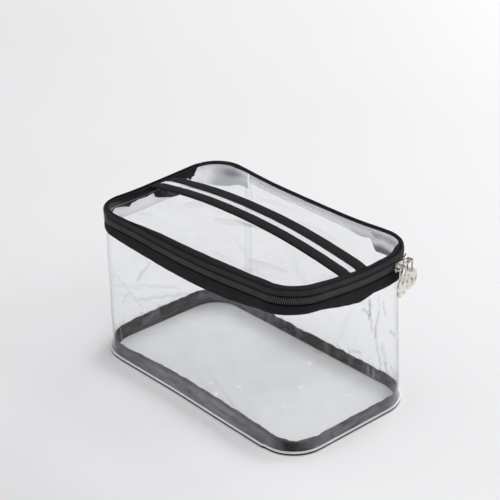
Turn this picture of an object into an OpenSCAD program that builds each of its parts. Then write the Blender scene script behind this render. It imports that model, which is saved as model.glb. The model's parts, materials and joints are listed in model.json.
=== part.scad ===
// Clear zip-round makeup case: film walls, film lid on a sewn hinge, a black zip band round
// three sides, a film carrying handle over the lid and two zip sliders with disc pulls.
// Origin: centre of the base, on the surface it stands on. +X right, +Y to the hinge side, +Z up.

/* [Case] */
// Length of the case over the rim
case_w = 240; // [200:2:300]
// Depth of the case over the rim
case_d = 138; // [110:2:180]
// Height from the floor to the top of the lid binding
case_h = 136; // [100:1:180]
// Corner radius of the rim
rim_r = 31; // [26:1:36]
// Corner radius of the base
base_r = 27; // [20:1:31]
// Thickness of the clear film
film_t = 0.6; // [0.4:0.1:0.8]

/* [Zip band] */
// Depth of the zip's centre line below the top of the lid binding
zip_drop = 8; // [7:0.5:12]
// Height of one row of the coil
coil_h = 2.3; // [1.5:0.1:3]
// Thickness of the coil, across the band
coil_t = 1.6; // [1.2:0.1:2]
// Gap between the two rows of the coil
coil_gap = 1.2; // [1:0.1:1.6]
// Thickness of the zip tapes
tape_t = 0.6; // [0.4:0.1:0.8]
// Height of the woven band below the zip
band_h = 9.2; // [6:0.2:14]
// Thickness of the woven band
band_t = 1; // [0.6:0.1:1.2]
// Height of the facing tape inside the band
facing_h = 10; // [6:0.5:12]
// How far the zip runs round the right rear corner, in degrees
zip_end_right = 56; // [50:1:80]
// How far the zip runs round the left rear corner, in degrees
zip_end_left = 25; // [20:1:80]

/* [Bindings] */
// Width of the lid binding, seen from above
binding_w = 8.7; // [6:0.1:12]
// Diameter of the rolled edge of the lid binding
roll_d = 3.4; // [3:0.1:4]
// Thickness of the flat part of a binding
binding_t = 0.8; // [0.6:0.1:1]
// Height of the base binding inside the walls
base_leg_h = 12; // [8:0.5:16]
// Height of the piping round the base
piping_h = 2.2; // [1.5:0.1:3]

/* [Handle] */
// Width of the handle strap over its bindings
strap_w = 27; // [20:1:34]
// Distance of the strap's centre line from the middle of the lid
strap_y = 3; // [-10:1:10]
// Rise of the strap at mid-length
strap_rise = 9.5; // [6:0.5:14]
// Width of one handle binding
strap_binding_w = 10; // [6:0.5:11]

/* [Zip sliders] */
// Length of a slider along the zip
slider_l = 9.6; // [8:0.2:10]
// Height of a slider across the zip
slider_h = 8.4; // [7:0.2:8.4]
// Clear width between a slider's two plates
channel_w = 4.6; // [4.5:0.1:5]
// Thickness of a slider plate
plate_t = 0.9; // [0.7:0.1:1]
// Place of the side slider round the right rear corner, in degrees
side_angle = 10; // [8:1:12]
// Direction that the side slider faces, in degrees from +X
side_yaw = 5; // [4:1:6]
// Place of the corner slider round the right rear corner, in degrees
corner_angle = 32; // [32:1:34]
// Direction that the side slider's pull hangs in, in degrees from +X
side_pull_yaw = 18; // [16:1:18]
// Direction that the corner slider's pull hangs in, in degrees from +X
corner_pull_yaw = 5; // [4:1:6]
// Width of a pull link
link_w = 5.4; // [5:0.1:5.6]
// Thickness of the link's wire
wire_t = 1; // [0.8:0.1:1]
// Distance from a slider's bail to the disc's hole
link_drop = 8.5; // [7:0.5:10]
// Diameter of a pull disc
disc_d = 18; // [14:1:18]
// Thickness of a pull disc
disc_t = 1.2; // [1:0.1:1.2]

/* [Hidden] */
$fn = 64;

// Centre of the right rear corner; the other three mirror it
corner_x = case_w / 2 - rim_r;
corner_y = case_d / 2 - rim_r;

// Layers of the rim, as distances in from the outline
coil_in = 0.7;
tape_in = coil_in + coil_t;
tape_end_in = tape_in + tape_t;
wall_in = coil_in + band_t;
wall_end_in = wall_in + film_t;
facing_end_in = tape_end_in + tape_t;

// Heights of the rim
zip_z = case_h - zip_drop;
lower_top = zip_z - coil_gap / 2;
upper_bottom = zip_z + coil_gap / 2;
band_top = lower_top - coil_h - 0.7;
band_bottom = band_top - band_h;
side_wall_top = band_top - 0.4;
facing_top = side_wall_top - 1;
roll_r = roll_d / 2;
roll_z = case_h - roll_r;
back_wall_top = case_h - roll_d - 0.3;
upper_tape_top = case_h - roll_d + 0.1;
panel_top = case_h - 1.4;
tab_over = 0.9;
tab_sweep = 5;

// Base
flange_t = 1;
flange_w = 4;
leg_t = 1;
leg_lap = 0.3;
strip_w = 8.5;
strip_x = -77.5;
strip_t = 0.5;
zip_clear = 2;
hinge_strip_h = 6.8;

// Handle
strap_t = 0.8;
strap_half = case_w / 2 - binding_w - 0.3;
strap_cover = 0.6;
strap_low = panel_top + strap_cover;
strap_radius = (strap_half * strap_half + strap_rise * strap_rise) / (2 * strap_rise);
strap_centre_z = strap_low + strap_rise - strap_radius;
strap_fn = 1440;
edge_fold = 0.6;

// Sliders, in a frame with +X away from the case, +Y along the zip and +Z up
track_r = rim_r - (coil_in + tape_end_in) / 2;
plate_in = channel_w / 2;
plate_out = plate_in + plate_t;
web_t = 0.6;
web_l = 3;
bail_bar = 1.2;
bail_gap = 5.6;
bail_post = 1;
pivot_x = plate_out + 3.8;
bar_rise = 1.7;
hole_r = 1.2;
hole_edge = 2;
rim_w = 0.9;
rim_h = 0.15;
inner_plate_top = 3;

module rounded(w, d, r) {
    union() {
        square([w - 2 * r, d], center = true);
        square([w, d - 2 * r], center = true);
        for (sx = [-1, 1], sy = [-1, 1])
            translate([sx * (w / 2 - r), sy * (d / 2 - r)])
                circle(r = r);
    }
}

module outline(inset, r) {
    rounded(case_w - 2 * inset, case_d - 2 * inset, r - inset);
}

// A closed band round the case between two distances in from the outline
module ring(near, far, z0, z1, r = rim_r) {
    translate([0, 0, z0])
        linear_extrude(z1 - z0)
            difference() {
                outline(near, r);
                outline(far, r);
            }
}

// Everything behind two lines that leave the rear corners' centres at the given angles
module back_zone(right, left) {
    reach = 2 * rim_r + 60;
    linear_extrude(2 * case_h)
        polygon([
            [-corner_x, corner_y],
            [corner_x, corner_y],
            [corner_x + reach * cos(right), corner_y + reach * sin(right)],
            [-corner_x - reach * cos(left), corner_y + reach * sin(left)]
        ]);
}

module zip_run(near, far, z0, z1) {
    difference() {
        ring(near, far, z0, z1);
        back_zone(zip_end_right, zip_end_left);
    }
}

module back_run(near, far, z0, z1) {
    intersection() {
        ring(near, far, z0, z1);
        back_zone(zip_end_right + zip_clear, zip_end_left + zip_clear);
    }
}

// Round bar that follows the rim
module rim_roll(inset, z, r) {
    reach = rim_r - inset;
    union() {
        for (s = [-1, 1]) {
            translate([0, s * (corner_y + reach), z])
                rotate([0, 90, 0])
                    cylinder(r = r, h = 2 * corner_x, center = true);
            translate([s * (corner_x + reach), 0, z])
                rotate([90, 0, 0])
                    cylinder(r = r, h = 2 * corner_y, center = true);
        }
        for (q = [0:3])
            translate([(q == 0 || q == 3 ? 1 : -1) * corner_x, (q < 2 ? 1 : -1) * corner_y, z])
                rotate([0, 0, 90 * q])
                    rotate_extrude(angle = 90)
                        translate([reach, 0])
                            circle(r = r);
    }
}

module wall_panel() {
    color([0.85, 0.87, 0.88, 0.35])
        union() {
            ring(wall_in, wall_end_in, flange_t, side_wall_top);
            back_run(wall_in, wall_end_in, side_wall_top, back_wall_top);
        }
}

module wall_join_strip() {
    color([0.8, 0.83, 0.85, 0.4])
        translate([strip_x - strip_w / 2, case_d / 2 - wall_in, flange_t + piping_h + 0.2])
            cube([strip_w, strip_t, back_wall_top - flange_t - piping_h - 0.4]);
}

module base_panel() {
    color([0.85, 0.87, 0.88, 0.35])
        linear_extrude(film_t)
            outline(flange_w, base_r);
}

module base_binding() {
    color([0.07, 0.07, 0.08])
        union() {
            ring(0.4, flange_w, 0, flange_t, base_r);
            ring(wall_end_in, wall_end_in + leg_t, flange_t - leg_lap, base_leg_h);
        }
}

module base_piping() {
    color([0.85, 0.87, 0.88, 0.35])
        ring(0, wall_in - 0.1, flange_t, flange_t + piping_h, base_r);
}

module lower_band() {
    color([0.08, 0.08, 0.09])
        zip_run(coil_in, wall_in, band_bottom, band_top);
}

module rim_facing() {
    color([0.06, 0.06, 0.07])
        zip_run(tape_end_in, facing_end_in, facing_top - facing_h, facing_top);
}

module lower_zip_tape() {
    color([0.09, 0.09, 0.1])
        zip_run(tape_in, tape_end_in, facing_top - facing_h, lower_top);
}

module lower_coil() {
    color([0.12, 0.12, 0.13])
        zip_run(coil_in, tape_in, lower_top - coil_h, lower_top);
}

module hinge_strip() {
    color([0.6, 0.62, 0.65, 0.5])
        back_run(wall_end_in, wall_end_in + strip_t, back_wall_top - hinge_strip_h, back_wall_top - 0.1);
}

// Folded tab sewn over one end of the zip
module end_tab(start) {
    translate([corner_x, corner_y, band_top])
        rotate([0, 0, start])
            rotate_extrude(angle = tab_sweep)
                translate([rim_r - coil_in, 0])
                    square([coil_in + tab_over, lower_top - band_top]);
}

module zip_end_tab_right() {
    color([0.07, 0.07, 0.08])
        end_tab(zip_end_right - tab_sweep + 1);
}

module zip_end_tab_left() {
    color([0.07, 0.07, 0.08])
        mirror([1, 0, 0])
            end_tab(zip_end_left - tab_sweep + 1);
}

module lid_panel() {
    color([0.85, 0.87, 0.88, 0.35])
        translate([0, 0, panel_top - film_t])
            linear_extrude(film_t)
                outline(roll_d, rim_r);
}

module lid_binding() {
    color([0.08, 0.08, 0.09])
        union() {
            rim_roll(roll_r, roll_z, roll_r);
            ring(roll_d - 0.4, binding_w, panel_top, panel_top + binding_t);
        }
}

module upper_zip_tape() {
    color([0.1, 0.1, 0.11])
        zip_run(tape_in, tape_end_in, upper_bottom, upper_tape_top);
}

module upper_coil() {
    color([0.12, 0.12, 0.13])
        zip_run(coil_in, tape_in, upper_bottom, upper_bottom + coil_h);
}

// Arched sheet that rises over the lid, between two heights above the strap's lower face
module strap_arc(low, high, y0, y1) {
    translate([0, y1, strap_centre_z])
        rotate([90, 0, 0])
            linear_extrude(y1 - y0)
                intersection() {
                    difference() {
                        circle(r = strap_radius + high, $fn = strap_fn);
                        circle(r = strap_radius + low, $fn = strap_fn);
                    }
                    translate([-strap_half, strap_radius / 2])
                        square([2 * strap_half, strap_radius]);
                }
}

module handle_strap() {
    color([0.85, 0.87, 0.88, 0.35])
        strap_arc(0, strap_t, strap_y - strap_w / 2 + edge_fold, strap_y + strap_w / 2 - edge_fold);
}

// Tape folded round one long edge of the strap
module edge_tape(outer, inner) {
    difference() {
        strap_arc(-strap_cover, strap_t + strap_cover, min(outer, inner), max(outer, inner));
        strap_arc(0, strap_t, strap_y - strap_w / 2 + edge_fold, strap_y + strap_w / 2 - edge_fold);
    }
}

module handle_binding_front() {
    color([0.08, 0.08, 0.09])
        edge_tape(strap_y - strap_w / 2, strap_y - strap_w / 2 + strap_binding_w);
}

module handle_binding_rear() {
    color([0.08, 0.08, 0.09])
        edge_tape(strap_y + strap_w / 2, strap_y + strap_w / 2 - strap_binding_w);
}

// Puts its children in a slider's frame, at a place round the right rear corner
module on_track(angle, yaw) {
    translate([corner_x + track_r * cos(angle), corner_y + track_r * sin(angle), zip_z])
        rotate([0, 0, yaw])
            children();
}

// One slider plate, drawn as it is seen from outside the case
module plate(top) {
    half_l = slider_l / 2;
    half_h = slider_h / 2;
    rotate([90, 0, 90])
        linear_extrude(plate_t)
            polygon([
                [-half_l, -half_h + 1.4], [-half_l + 1.2, -half_h + 0.4],
                [half_l - 1.4, -half_h], [half_l, -half_h + 1],
                [half_l, top - 1], [half_l - 1.4, top],
                [-half_l + 1.2, top - 0.4], [-half_l, top - 1.4]
            ]);
}

module slider_body() {
    union() {
        translate([plate_in, 0, 0])
            plate(slider_h / 2);
        translate([-plate_out, 0, 0])
            plate(inner_plate_top);
        translate([-plate_in - plate_t / 2, slider_l / 2 - web_l - 1, -web_t / 2])
            cube([2 * plate_in + plate_t, web_l, web_t]);
    }
}

// Arch on the outer plate that the pull link hangs from
module slider_bail() {
    half_gap = bail_gap / 2;
    half_out = half_gap + bail_post;
    bar_in = pivot_x - bail_bar / 2;
    bar_out = pivot_x + bail_bar / 2;
    translate([0, 0, -bail_bar / 2])
        linear_extrude(bail_bar)
            polygon([
                [plate_out, -half_out], [bar_out - 0.8, -half_out],
                [bar_out, -half_out + 0.8], [bar_out, half_out - 0.8],
                [bar_out - 0.8, half_out], [plate_out, half_out],
                [plate_out, half_gap], [bar_in, half_gap],
                [bar_in, -half_gap], [plate_out, -half_gap]
            ]);
}

// Puts its children at a slider's bail, turned to the way its pull hangs
module on_bail(angle, yaw, pull_yaw) {
    on_track(angle, yaw)
        translate([pivot_x, 0, 0])
            rotate([0, 0, pull_yaw - yaw])
                children();
}

module pull_link() {
    rotate([90, 0, 0])
        linear_extrude(wire_t, center = true)
            difference() {
                translate([-link_w / 2, -link_drop - wire_t / 2])
                    square([link_w, link_drop + bar_rise + wire_t]);
                translate([-link_w / 2 + wire_t, -link_drop + wire_t / 2])
                    square([link_w - 2 * wire_t, link_drop + bar_rise - wire_t]);
            }
}

module pull_disc() {
    centre_z = -link_drop - disc_d / 2 + hole_edge;
    rotate([0, 90, 0])
        difference() {
            translate([-centre_z, 0, 0])
                cylinder(d = disc_d, h = disc_t, center = true);
            for (side = [-1, 1])
                translate([-centre_z, 0, side * disc_t / 2])
                    cylinder(d = disc_d - 2 * rim_w, h = 2 * rim_h, center = true);
            translate([link_drop, 0, 0])
                cylinder(r = hole_r, h = 2 * disc_t, center = true);
        }
}

module side_slider_body() {
    color([0.78, 0.76, 0.72])
        on_track(side_angle, side_yaw)
            slider_body();
}

module side_slider_bail() {
    color([0.8, 0.78, 0.74])
        on_track(side_angle, side_yaw)
            slider_bail();
}

module side_pull_link() {
    color([0.8, 0.78, 0.74])
        on_bail(side_angle, side_yaw, side_pull_yaw)
            pull_link();
}

module side_pull_disc() {
    color([0.82, 0.8, 0.75])
        on_bail(side_angle, side_yaw, side_pull_yaw)
            pull_disc();
}

module corner_slider_body() {
    color([0.78, 0.76, 0.72])
        on_track(corner_angle, corner_angle)
            slider_body();
}

module corner_slider_bail() {
    color([0.8, 0.78, 0.74])
        on_track(corner_angle, corner_angle)
            slider_bail();
}

module corner_pull_link() {
    color([0.8, 0.78, 0.74])
        on_bail(corner_angle, corner_angle, corner_pull_yaw)
            pull_link();
}

module corner_pull_disc() {
    color([0.82, 0.8, 0.75])
        on_bail(corner_angle, corner_angle, corner_pull_yaw)
            pull_disc();
}

wall_panel();
wall_join_strip();
base_panel();
base_binding();
base_piping();
lower_band();
rim_facing();
lower_zip_tape();
lower_coil();
hinge_strip();
zip_end_tab_right();
zip_end_tab_left();
lid_panel();
lid_binding();
upper_zip_tape();
upper_coil();
handle_strap();
handle_binding_front();
handle_binding_rear();
side_slider_body();
side_slider_bail();
side_pull_link();
side_pull_disc();
corner_slider_body();
corner_slider_bail();
corner_pull_link();
corner_pull_disc();
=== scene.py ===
"""Looks for the clear makeup bag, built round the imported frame.

Lengths are in metres, and in mm where a comment says so. +X runs along the bag, +Y points to the hinge side and +Z
is up. Most pieces follow the rim's rounded outline: a station is a point on it, and the inset is a distance in from it.
"""
import json
import math

import bmesh
import bpy
import numpy as np
from mathutils import Matrix, Vector, noise

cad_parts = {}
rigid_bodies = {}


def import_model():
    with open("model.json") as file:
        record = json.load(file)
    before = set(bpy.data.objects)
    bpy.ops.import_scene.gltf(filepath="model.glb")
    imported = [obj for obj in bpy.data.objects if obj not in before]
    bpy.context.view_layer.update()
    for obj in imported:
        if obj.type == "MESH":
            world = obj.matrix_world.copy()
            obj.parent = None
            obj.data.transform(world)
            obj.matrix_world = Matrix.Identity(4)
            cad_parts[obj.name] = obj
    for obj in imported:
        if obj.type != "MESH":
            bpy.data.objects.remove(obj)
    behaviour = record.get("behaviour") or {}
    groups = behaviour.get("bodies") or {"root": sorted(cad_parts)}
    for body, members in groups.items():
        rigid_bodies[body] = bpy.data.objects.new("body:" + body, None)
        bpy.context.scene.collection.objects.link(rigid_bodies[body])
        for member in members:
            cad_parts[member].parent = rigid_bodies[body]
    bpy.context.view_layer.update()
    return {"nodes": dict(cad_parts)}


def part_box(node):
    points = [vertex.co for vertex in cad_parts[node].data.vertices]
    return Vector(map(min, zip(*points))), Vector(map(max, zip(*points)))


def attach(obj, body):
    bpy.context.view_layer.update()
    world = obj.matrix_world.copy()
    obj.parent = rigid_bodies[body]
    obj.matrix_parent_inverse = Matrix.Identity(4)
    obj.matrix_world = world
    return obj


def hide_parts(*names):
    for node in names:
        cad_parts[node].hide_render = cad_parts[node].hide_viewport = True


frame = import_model()

MM = 0.001
SCENE = bpy.context.scene

# ---------------------------------------------------------------- outline of the rim
LID_LO, LID_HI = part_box("lid_binding")
HALF_W = (LID_HI[0] - LID_LO[0]) / 2
HALF_D = (LID_HI[1] - LID_LO[1]) / 2
RIM_R = 31 * MM
CX = HALF_W - RIM_R
CY = HALF_D - RIM_R
# the outline's normal turns from 90 degrees at the back, by the left, front and right sides, to 450 at the back
LEFT, FRONT, RIGHT, BACK = 180.0, 270.0, 360.0, 450.0
ZIP_START = 155.0  # normal angles at the zip's two ends: left rear and right rear corner
ZIP_END = 416.0
CORNERS = {90: (-CX, CY), 180: (-CX, -CY), 270: (CX, -CY), 360: (CX, CY), 450: (-CX, CY)}


def smooth(x, a, b):
    """0 before a, 1 after b, smooth between."""
    t = min(max((x - a) / (b - a), 0.0), 1.0)
    return t * t * (3 - 2 * t)


def blend(a, b, t):
    return a * (1 - t) + b * t


def bump(d, width):
    return math.exp(-(d / width) ** 2)


def table(x, pairs):
    """Value at x on straight lines between (x, value) pairs."""
    return float(np.interp(x, [p[0] for p in pairs], [p[1] for p in pairs]))


def wobble(x, y, z, scale, seed=0.0):
    return noise.noise(Vector((x / scale + seed, y / scale + 1.7 * seed, z / scale - seed)))


def stations(start, end, step=2 * MM, closed=False):
    """Stations (arc centre x, y, normal angle, run along the outline) from one angle to another, and the whole run."""
    out, s, a = [], 0.0, float(start)
    while True:
        q = int(90 * math.floor(a / 90 + 1e-9))
        cx, cy = CORNERS[q]
        stop = min(q + 90, end)
        arc = math.radians(stop - a) * RIM_R
        n = max(1, math.ceil(arc / step))
        out += [(cx, cy, a + (stop - a) * (i / n), s + arc * (i / n)) for i in range(n)]
        s += arc
        if stop >= end and not closed:
            out.append((cx, cy, stop, s))
            return out, s
        nx, ny = CORNERS[q + 90]
        length = math.hypot(nx - cx, ny - cy)
        n = round(length / step)
        for i in range(n):
            t = i / n
            out.append((cx + (nx - cx) * t, cy + (ny - cy) * t, float(q + 90), s + length * t))
        s += length
        if stop >= end:
            return out, s
        a = float(q + 90)


def at(st, inset):
    r = RIM_R - inset
    a = math.radians(st[2])
    return st[0] + r * math.cos(a), st[1] + r * math.sin(a)


# soft rises and sags of the rim: height in mm, middle x and y, stretch along y, width
RIM_LIFTS = [(4.2, 0.103, -0.056, 1.3, 0.046), (3.0, -0.098, 0.060, 1, 0.036), (2.8, 0.092, 0.069, 1, 0.030),
             (-2.6, -0.012, -0.069, 0.8, 0.060), (-1.3, 0.118, 0.012, 1, 0.026), (-2.2, -0.112, -0.034, 1, 0.034)]


def rim_lift(x, y):
    """The soft rim isn't level: it stands up at three corners and sags between them."""
    return sum(h * bump(math.hypot(x - x0, (y - y0) * stretch), w) for h, x0, y0, stretch, w in RIM_LIFTS) * MM


def rim_z(p, inset):
    return rim_lift(*at(p, inset))


def wall_lift(x, y, z):
    """The lift dies out down the wall."""
    return rim_lift(x, y) * smooth(z, 60 * MM, 118 * MM)


# ---------------------------------------------------------------- mesh helpers
def link_new(name, me):
    obj = bpy.data.objects.new(name, me)
    SCENE.collection.objects.link(obj)
    return obj


def add_attribute(me, key, values):
    me.attributes.new(key, "FLOAT", "POINT").data.foreach_set("value", np.asarray(values, np.float32))


def new_object(name, verts, faces, uvs=None, attrs=None):
    me = bpy.data.meshes.new(name)
    me.from_pydata([tuple(v) for v in verts], [], faces)
    if uvs is not None:
        layer = me.uv_layers.new(name="UVMap")
        layer.data.foreach_set("uv", [c for face in uvs for uv in face for c in uv])
    for key, values in (attrs or {}).items():
        add_attribute(me, key, values)
    me.validate()
    me.update()
    return link_new(name, me)


def shade_smooth(obj, sharp=None):
    for p in obj.data.polygons:
        p.use_smooth = True
    if sharp is not None:
        obj.data.set_sharp_from_angle(angle=math.radians(sharp))


def tidy_normals(obj, sharp=45):
    bm = bmesh.new()
    bm.from_mesh(obj.data)
    bmesh.ops.recalc_face_normals(bm, faces=bm.faces)
    bm.to_mesh(obj.data)
    bm.free()
    shade_smooth(obj, sharp)


def thicken(obj, t):
    m = obj.modifiers.new("film", "SOLIDIFY")
    m.thickness = t
    m.offset = 0
    m.use_rim = True
    bpy.context.view_layer.update()
    dg = bpy.context.evaluated_depsgraph_get()
    me = bpy.data.meshes.new_from_object(obj.evaluated_get(dg), preserve_all_data_layers=True, depsgraph=dg)
    obj.modifiers.clear()
    obj.data = me
    shade_smooth(obj, 50)


def cells(n, m, wrap_n=False, wrap_m=False):
    """Cells of a grid of n rows of m points: (row, next row, column, next column)."""
    rows, columns = range(n if wrap_n else n - 1), range(m if wrap_m else m - 1)
    return [(i, (i + 1) % n, j, (j + 1) % m) for i in rows for j in columns]


def quads(n, m, wrap_m=False, base=0):
    """Faces of a grid of n rows of m points, when the first point's index is base."""
    return [tuple(base + q for q in (i * m + j, i * m + l, k * m + l, k * m + j))
            for i, k, j, l in cells(n, m, False, wrap_m)]


def end_caps(n, m):
    """The first and the last row of a tube of n rows of m points, as (row, its columns in face order)."""
    return (0, range(m)), (n - 1, range(m - 1, -1, -1))


def sweep(name, path, section, closed_path=False, attr=None, sharp=45):
    """Sweeps the closed section(station) -> [(inset, z), ...] along the stations."""
    st, total = path
    verts, cum, shades = [], [], []
    for p in st:
        sec = section(p)
        acc, prev = 0.0, None
        row = []
        for inset, z in sec:
            verts.append((*at(p, inset), z))
            if prev is not None:
                acc += math.hypot(inset - prev[0], z - prev[1])
            prev = (inset, z)
            row.append(acc)
            if attr:
                shades.append(attr(p, inset, z))
        row.append(acc + math.hypot(sec[0][0] - prev[0], sec[0][1] - prev[1]))
        cum.append(row)
    n, m = len(st), len(sec)
    faces, uvs = [], []
    for i, k, j, l in cells(n, m, closed_path, True):
        s0, s1 = st[i][3], (st[k][3] if k else total)
        faces.append((i * m + j, k * m + j, k * m + l, i * m + l))
        uvs.append(((s0, cum[i][j]), (s1, cum[k][j]), (s1, cum[k][j + 1]), (s0, cum[i][j + 1])))
    if not closed_path:
        for i, order in end_caps(n, m):
            faces.append(tuple(i * m + j for j in order))
            uvs.append(tuple((st[i][3], cum[i][j]) for j in order))
    obj = new_object(name, verts, faces, uvs, {"shade": shades} if attr else None)
    tidy_normals(obj, sharp)
    return obj


def cut_corners(points):
    """Rounds a section's corners a little by cutting them (one Chaikin step)."""
    out = []
    for a, b in zip(points, points[1:] + points[:1]):
        out.append((a[0] * 0.75 + b[0] * 0.25, a[1] * 0.75 + b[1] * 0.25))
        out.append((a[0] * 0.25 + b[0] * 0.75, a[1] * 0.25 + b[1] * 0.75))
    return out


def mm(points):
    return [(a * MM, b * MM) for a, b in points]


def lifted(points, lift):
    """A section in mm, raised by lift in mm."""
    return [(a * MM, (b + lift) * MM) for a, b in points]


PANEL_RINGS = 15


def panel(name, inset, height, thickness, haze_and_highlight, shade, step=1.5 * MM):
    """A film panel with the rim's outline: rings in to the straight part, then a plain grid."""
    st, _ = stations(90, 450, step, closed=True)
    verts = [at(p, inset + (RIM_R - inset) * i / PANEL_RINGS) for i in range(PANEL_RINGS + 1) for p in st]
    nx, ny = round(2 * CX / step), round(2 * CY / step)
    faces = quads(PANEL_RINGS + 1, len(st), True) + quads(ny + 1, nx + 1, base=len(verts))
    verts += [(-CX + 2 * CX * i / nx, -CY + 2 * CY * j / ny) for j in range(ny + 1) for i in range(nx + 1)]
    bm = bmesh.new()
    bv = [bm.verts.new((x, y, 0)) for x, y in verts]
    for f in faces:
        bm.faces.new([bv[i] for i in f])
    bmesh.ops.remove_doubles(bm, verts=bm.verts, dist=2e-5)
    bmesh.ops.dissolve_degenerate(bm, edges=bm.edges, dist=1e-6)
    bmesh.ops.recalc_face_normals(bm, faces=bm.faces)
    me = bpy.data.meshes.new(name)
    bm.to_mesh(me)
    bm.free()
    layer = me.uv_layers.new(name="UVMap")
    for loop in me.loops:
        co = me.vertices[loop.vertex_index].co
        layer.data[loop.index].uv = (co.x, co.y)
    for key, fn in (("haze_and_highlight", haze_and_highlight), ("shade", shade)):
        add_attribute(me, key, [fn(v.co.x, v.co.y) for v in me.vertices])
    for v in me.vertices:
        v.co.z = height(v.co.x, v.co.y)
    obj = link_new(name, me)
    thicken(obj, thickness)
    return obj


# ---------------------------------------------------------------- materials
class Nodes:
    """A node tree, with short ways to add the nodes that are used most."""

    def __init__(self, tree, out):
        self.tree = tree
        tree.nodes.clear()
        self.out = tree.nodes.new("ShaderNode" + out)

    def add(self, kind, inputs=None, **props):
        n = self.tree.nodes.new("ShaderNode" + kind)
        for k, v in props.items():
            setattr(n, k, v)
        for k, v in (inputs or {}).items():
            if isinstance(v, bpy.types.NodeSocket):
                self.tree.links.new(v, n.inputs[k])
            else:
                n.inputs[k].default_value = v
        return n

    def finish(self, shader):
        self.tree.links.new(shader.outputs[0], self.out.inputs[0])

    def coords(self):
        return self.add("TexCoord").outputs["Object"]

    def attribute(self, name):
        return self.add("Attribute", attribute_name=name).outputs["Fac"]

    def noise(self, coord, scale, detail, **inputs):
        return self.add("TexNoise", {"Vector": coord, "Scale": scale, "Detail": detail, **inputs}).outputs[0]

    def maths(self, op, a, b=None, c=None, clamp=False):
        inputs = {i: v for i, v in enumerate((a, b, c)) if v is not None}
        return self.add("Math", inputs, operation=op, use_clamp=clamp).outputs[0]

    def ramp(self, value, lo, hi, to_lo=0.0, to_hi=1.0, **props):
        return self.add("MapRange", {"Value": value, "From Min": lo, "From Max": hi, "To Min": to_lo, "To Max": to_hi},
                        **props).outputs[0]

    def mix(self, fac, a, b):
        """Colour between a and b. The Mix node repeats its socket names for each type, so they are set by place."""
        a, b = ((*c, 1) if isinstance(c, tuple) else c for c in (a, b))
        return self.add("Mix", {0: fac, 6: a, 7: b}, data_type="RGBA").outputs[2]

    def bump(self, height, strength, distance):
        return self.add("Bump", {"Height": height, "Strength": strength, "Distance": distance}).outputs[0]


def new_material(name):
    m = bpy.data.materials.new(name)
    m.use_nodes = True
    return m, Nodes(m.node_tree, "OutputMaterial")


def film_material(name, haze=0.004, tint=(0.990, 0.992, 0.994), rough=0.045, wrinkle=0.35, milk=0.03,
                  shade=(0.40, 0.41, 0.44), patches=0.012, white=(0.90, 0.91, 0.92), gloss_level=1.0, gloss_above=None):
    """Clear PVC: mostly see-through and mirrors more at a slant. Its milky veil is partly haze and partly painted
    highlights and reflections, laid along its creases and in strips; its grey is painted reflection, and it is painted
    darker where it is seen at a slant.

    gloss_above weakens the mirroring above the base tape.
    """
    m, n = new_material(name)
    coord = n.coords()
    soft = n.noise(coord, 38.0, 3.0, Roughness=0.5)
    normal = n.bump(n.maths("MULTIPLY_ADD", n.noise(coord, 210.0, 2.0), 0.08, soft), wrinkle, 0.004)
    facing = n.add("LayerWeight", {"Blend": 0.5, "Normal": normal}).outputs["Facing"]
    mirror = n.maths("MULTIPLY_ADD", n.maths("POWER", facing, 5.0), 0.90 * gloss_level, 0.036 * gloss_level,
                     clamp=True)
    if gloss_above is not None:
        z = n.add("SeparateXYZ", {0: coord}).outputs[2]
        mirror = n.maths("MULTIPLY", mirror, n.ramp(z, 0.013, 0.022, 1.0, gloss_above))
    # painted highlights (white) and painted reflections (grey), from the pieces' attributes
    haze_and_highlight, grey = n.attribute("haze_and_highlight"), n.attribute("shade")
    cloud = n.noise(coord, 22.0, 4.0, Roughness=0.6)
    veil = n.maths("MULTIPLY_ADD", n.maths("POWER", facing, 4.0), milk, haze)
    veil = n.maths("ADD", veil, n.ramp(cloud, 0.50, 0.75, 0.0, patches))
    veil = n.maths("MULTIPLY_ADD", haze_and_highlight, 0.5, veil, clamp=True)
    # painted shade: darker where the film is seen at a slant, standing in for light bent at its folds
    edge = n.maths("POWER", facing, 6.0)
    dark = n.maths("MAXIMUM", grey, n.maths("MULTIPLY", edge, 0.5), clamp=True)
    clear = n.add("BsdfTransparent", {"Color": n.mix(dark, tint, shade)})
    haze_and_glint_colour = n.mix(grey, white, shade)
    # the milky part gives off a little light, which stands in for the glints on its creases
    white = n.add("AddShader", {0: n.add("BsdfDiffuse", {"Color": haze_and_glint_colour, "Normal": normal}).outputs[0],
                                1: n.add("Emission", {"Color": haze_and_glint_colour, "Strength": 0.30}).outputs[0]})
    gloss = n.add("BsdfGlossy", {"Color": (1, 1, 1, 1), "Roughness": rough, "Normal": normal})
    body = n.add("MixShader", {"Fac": veil, 1: clear.outputs[0], 2: white.outputs[0]})
    n.finish(n.add("MixShader", {"Fac": mirror, 1: body.outputs[0], 2: gloss.outputs[0]}))
    return m


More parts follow.
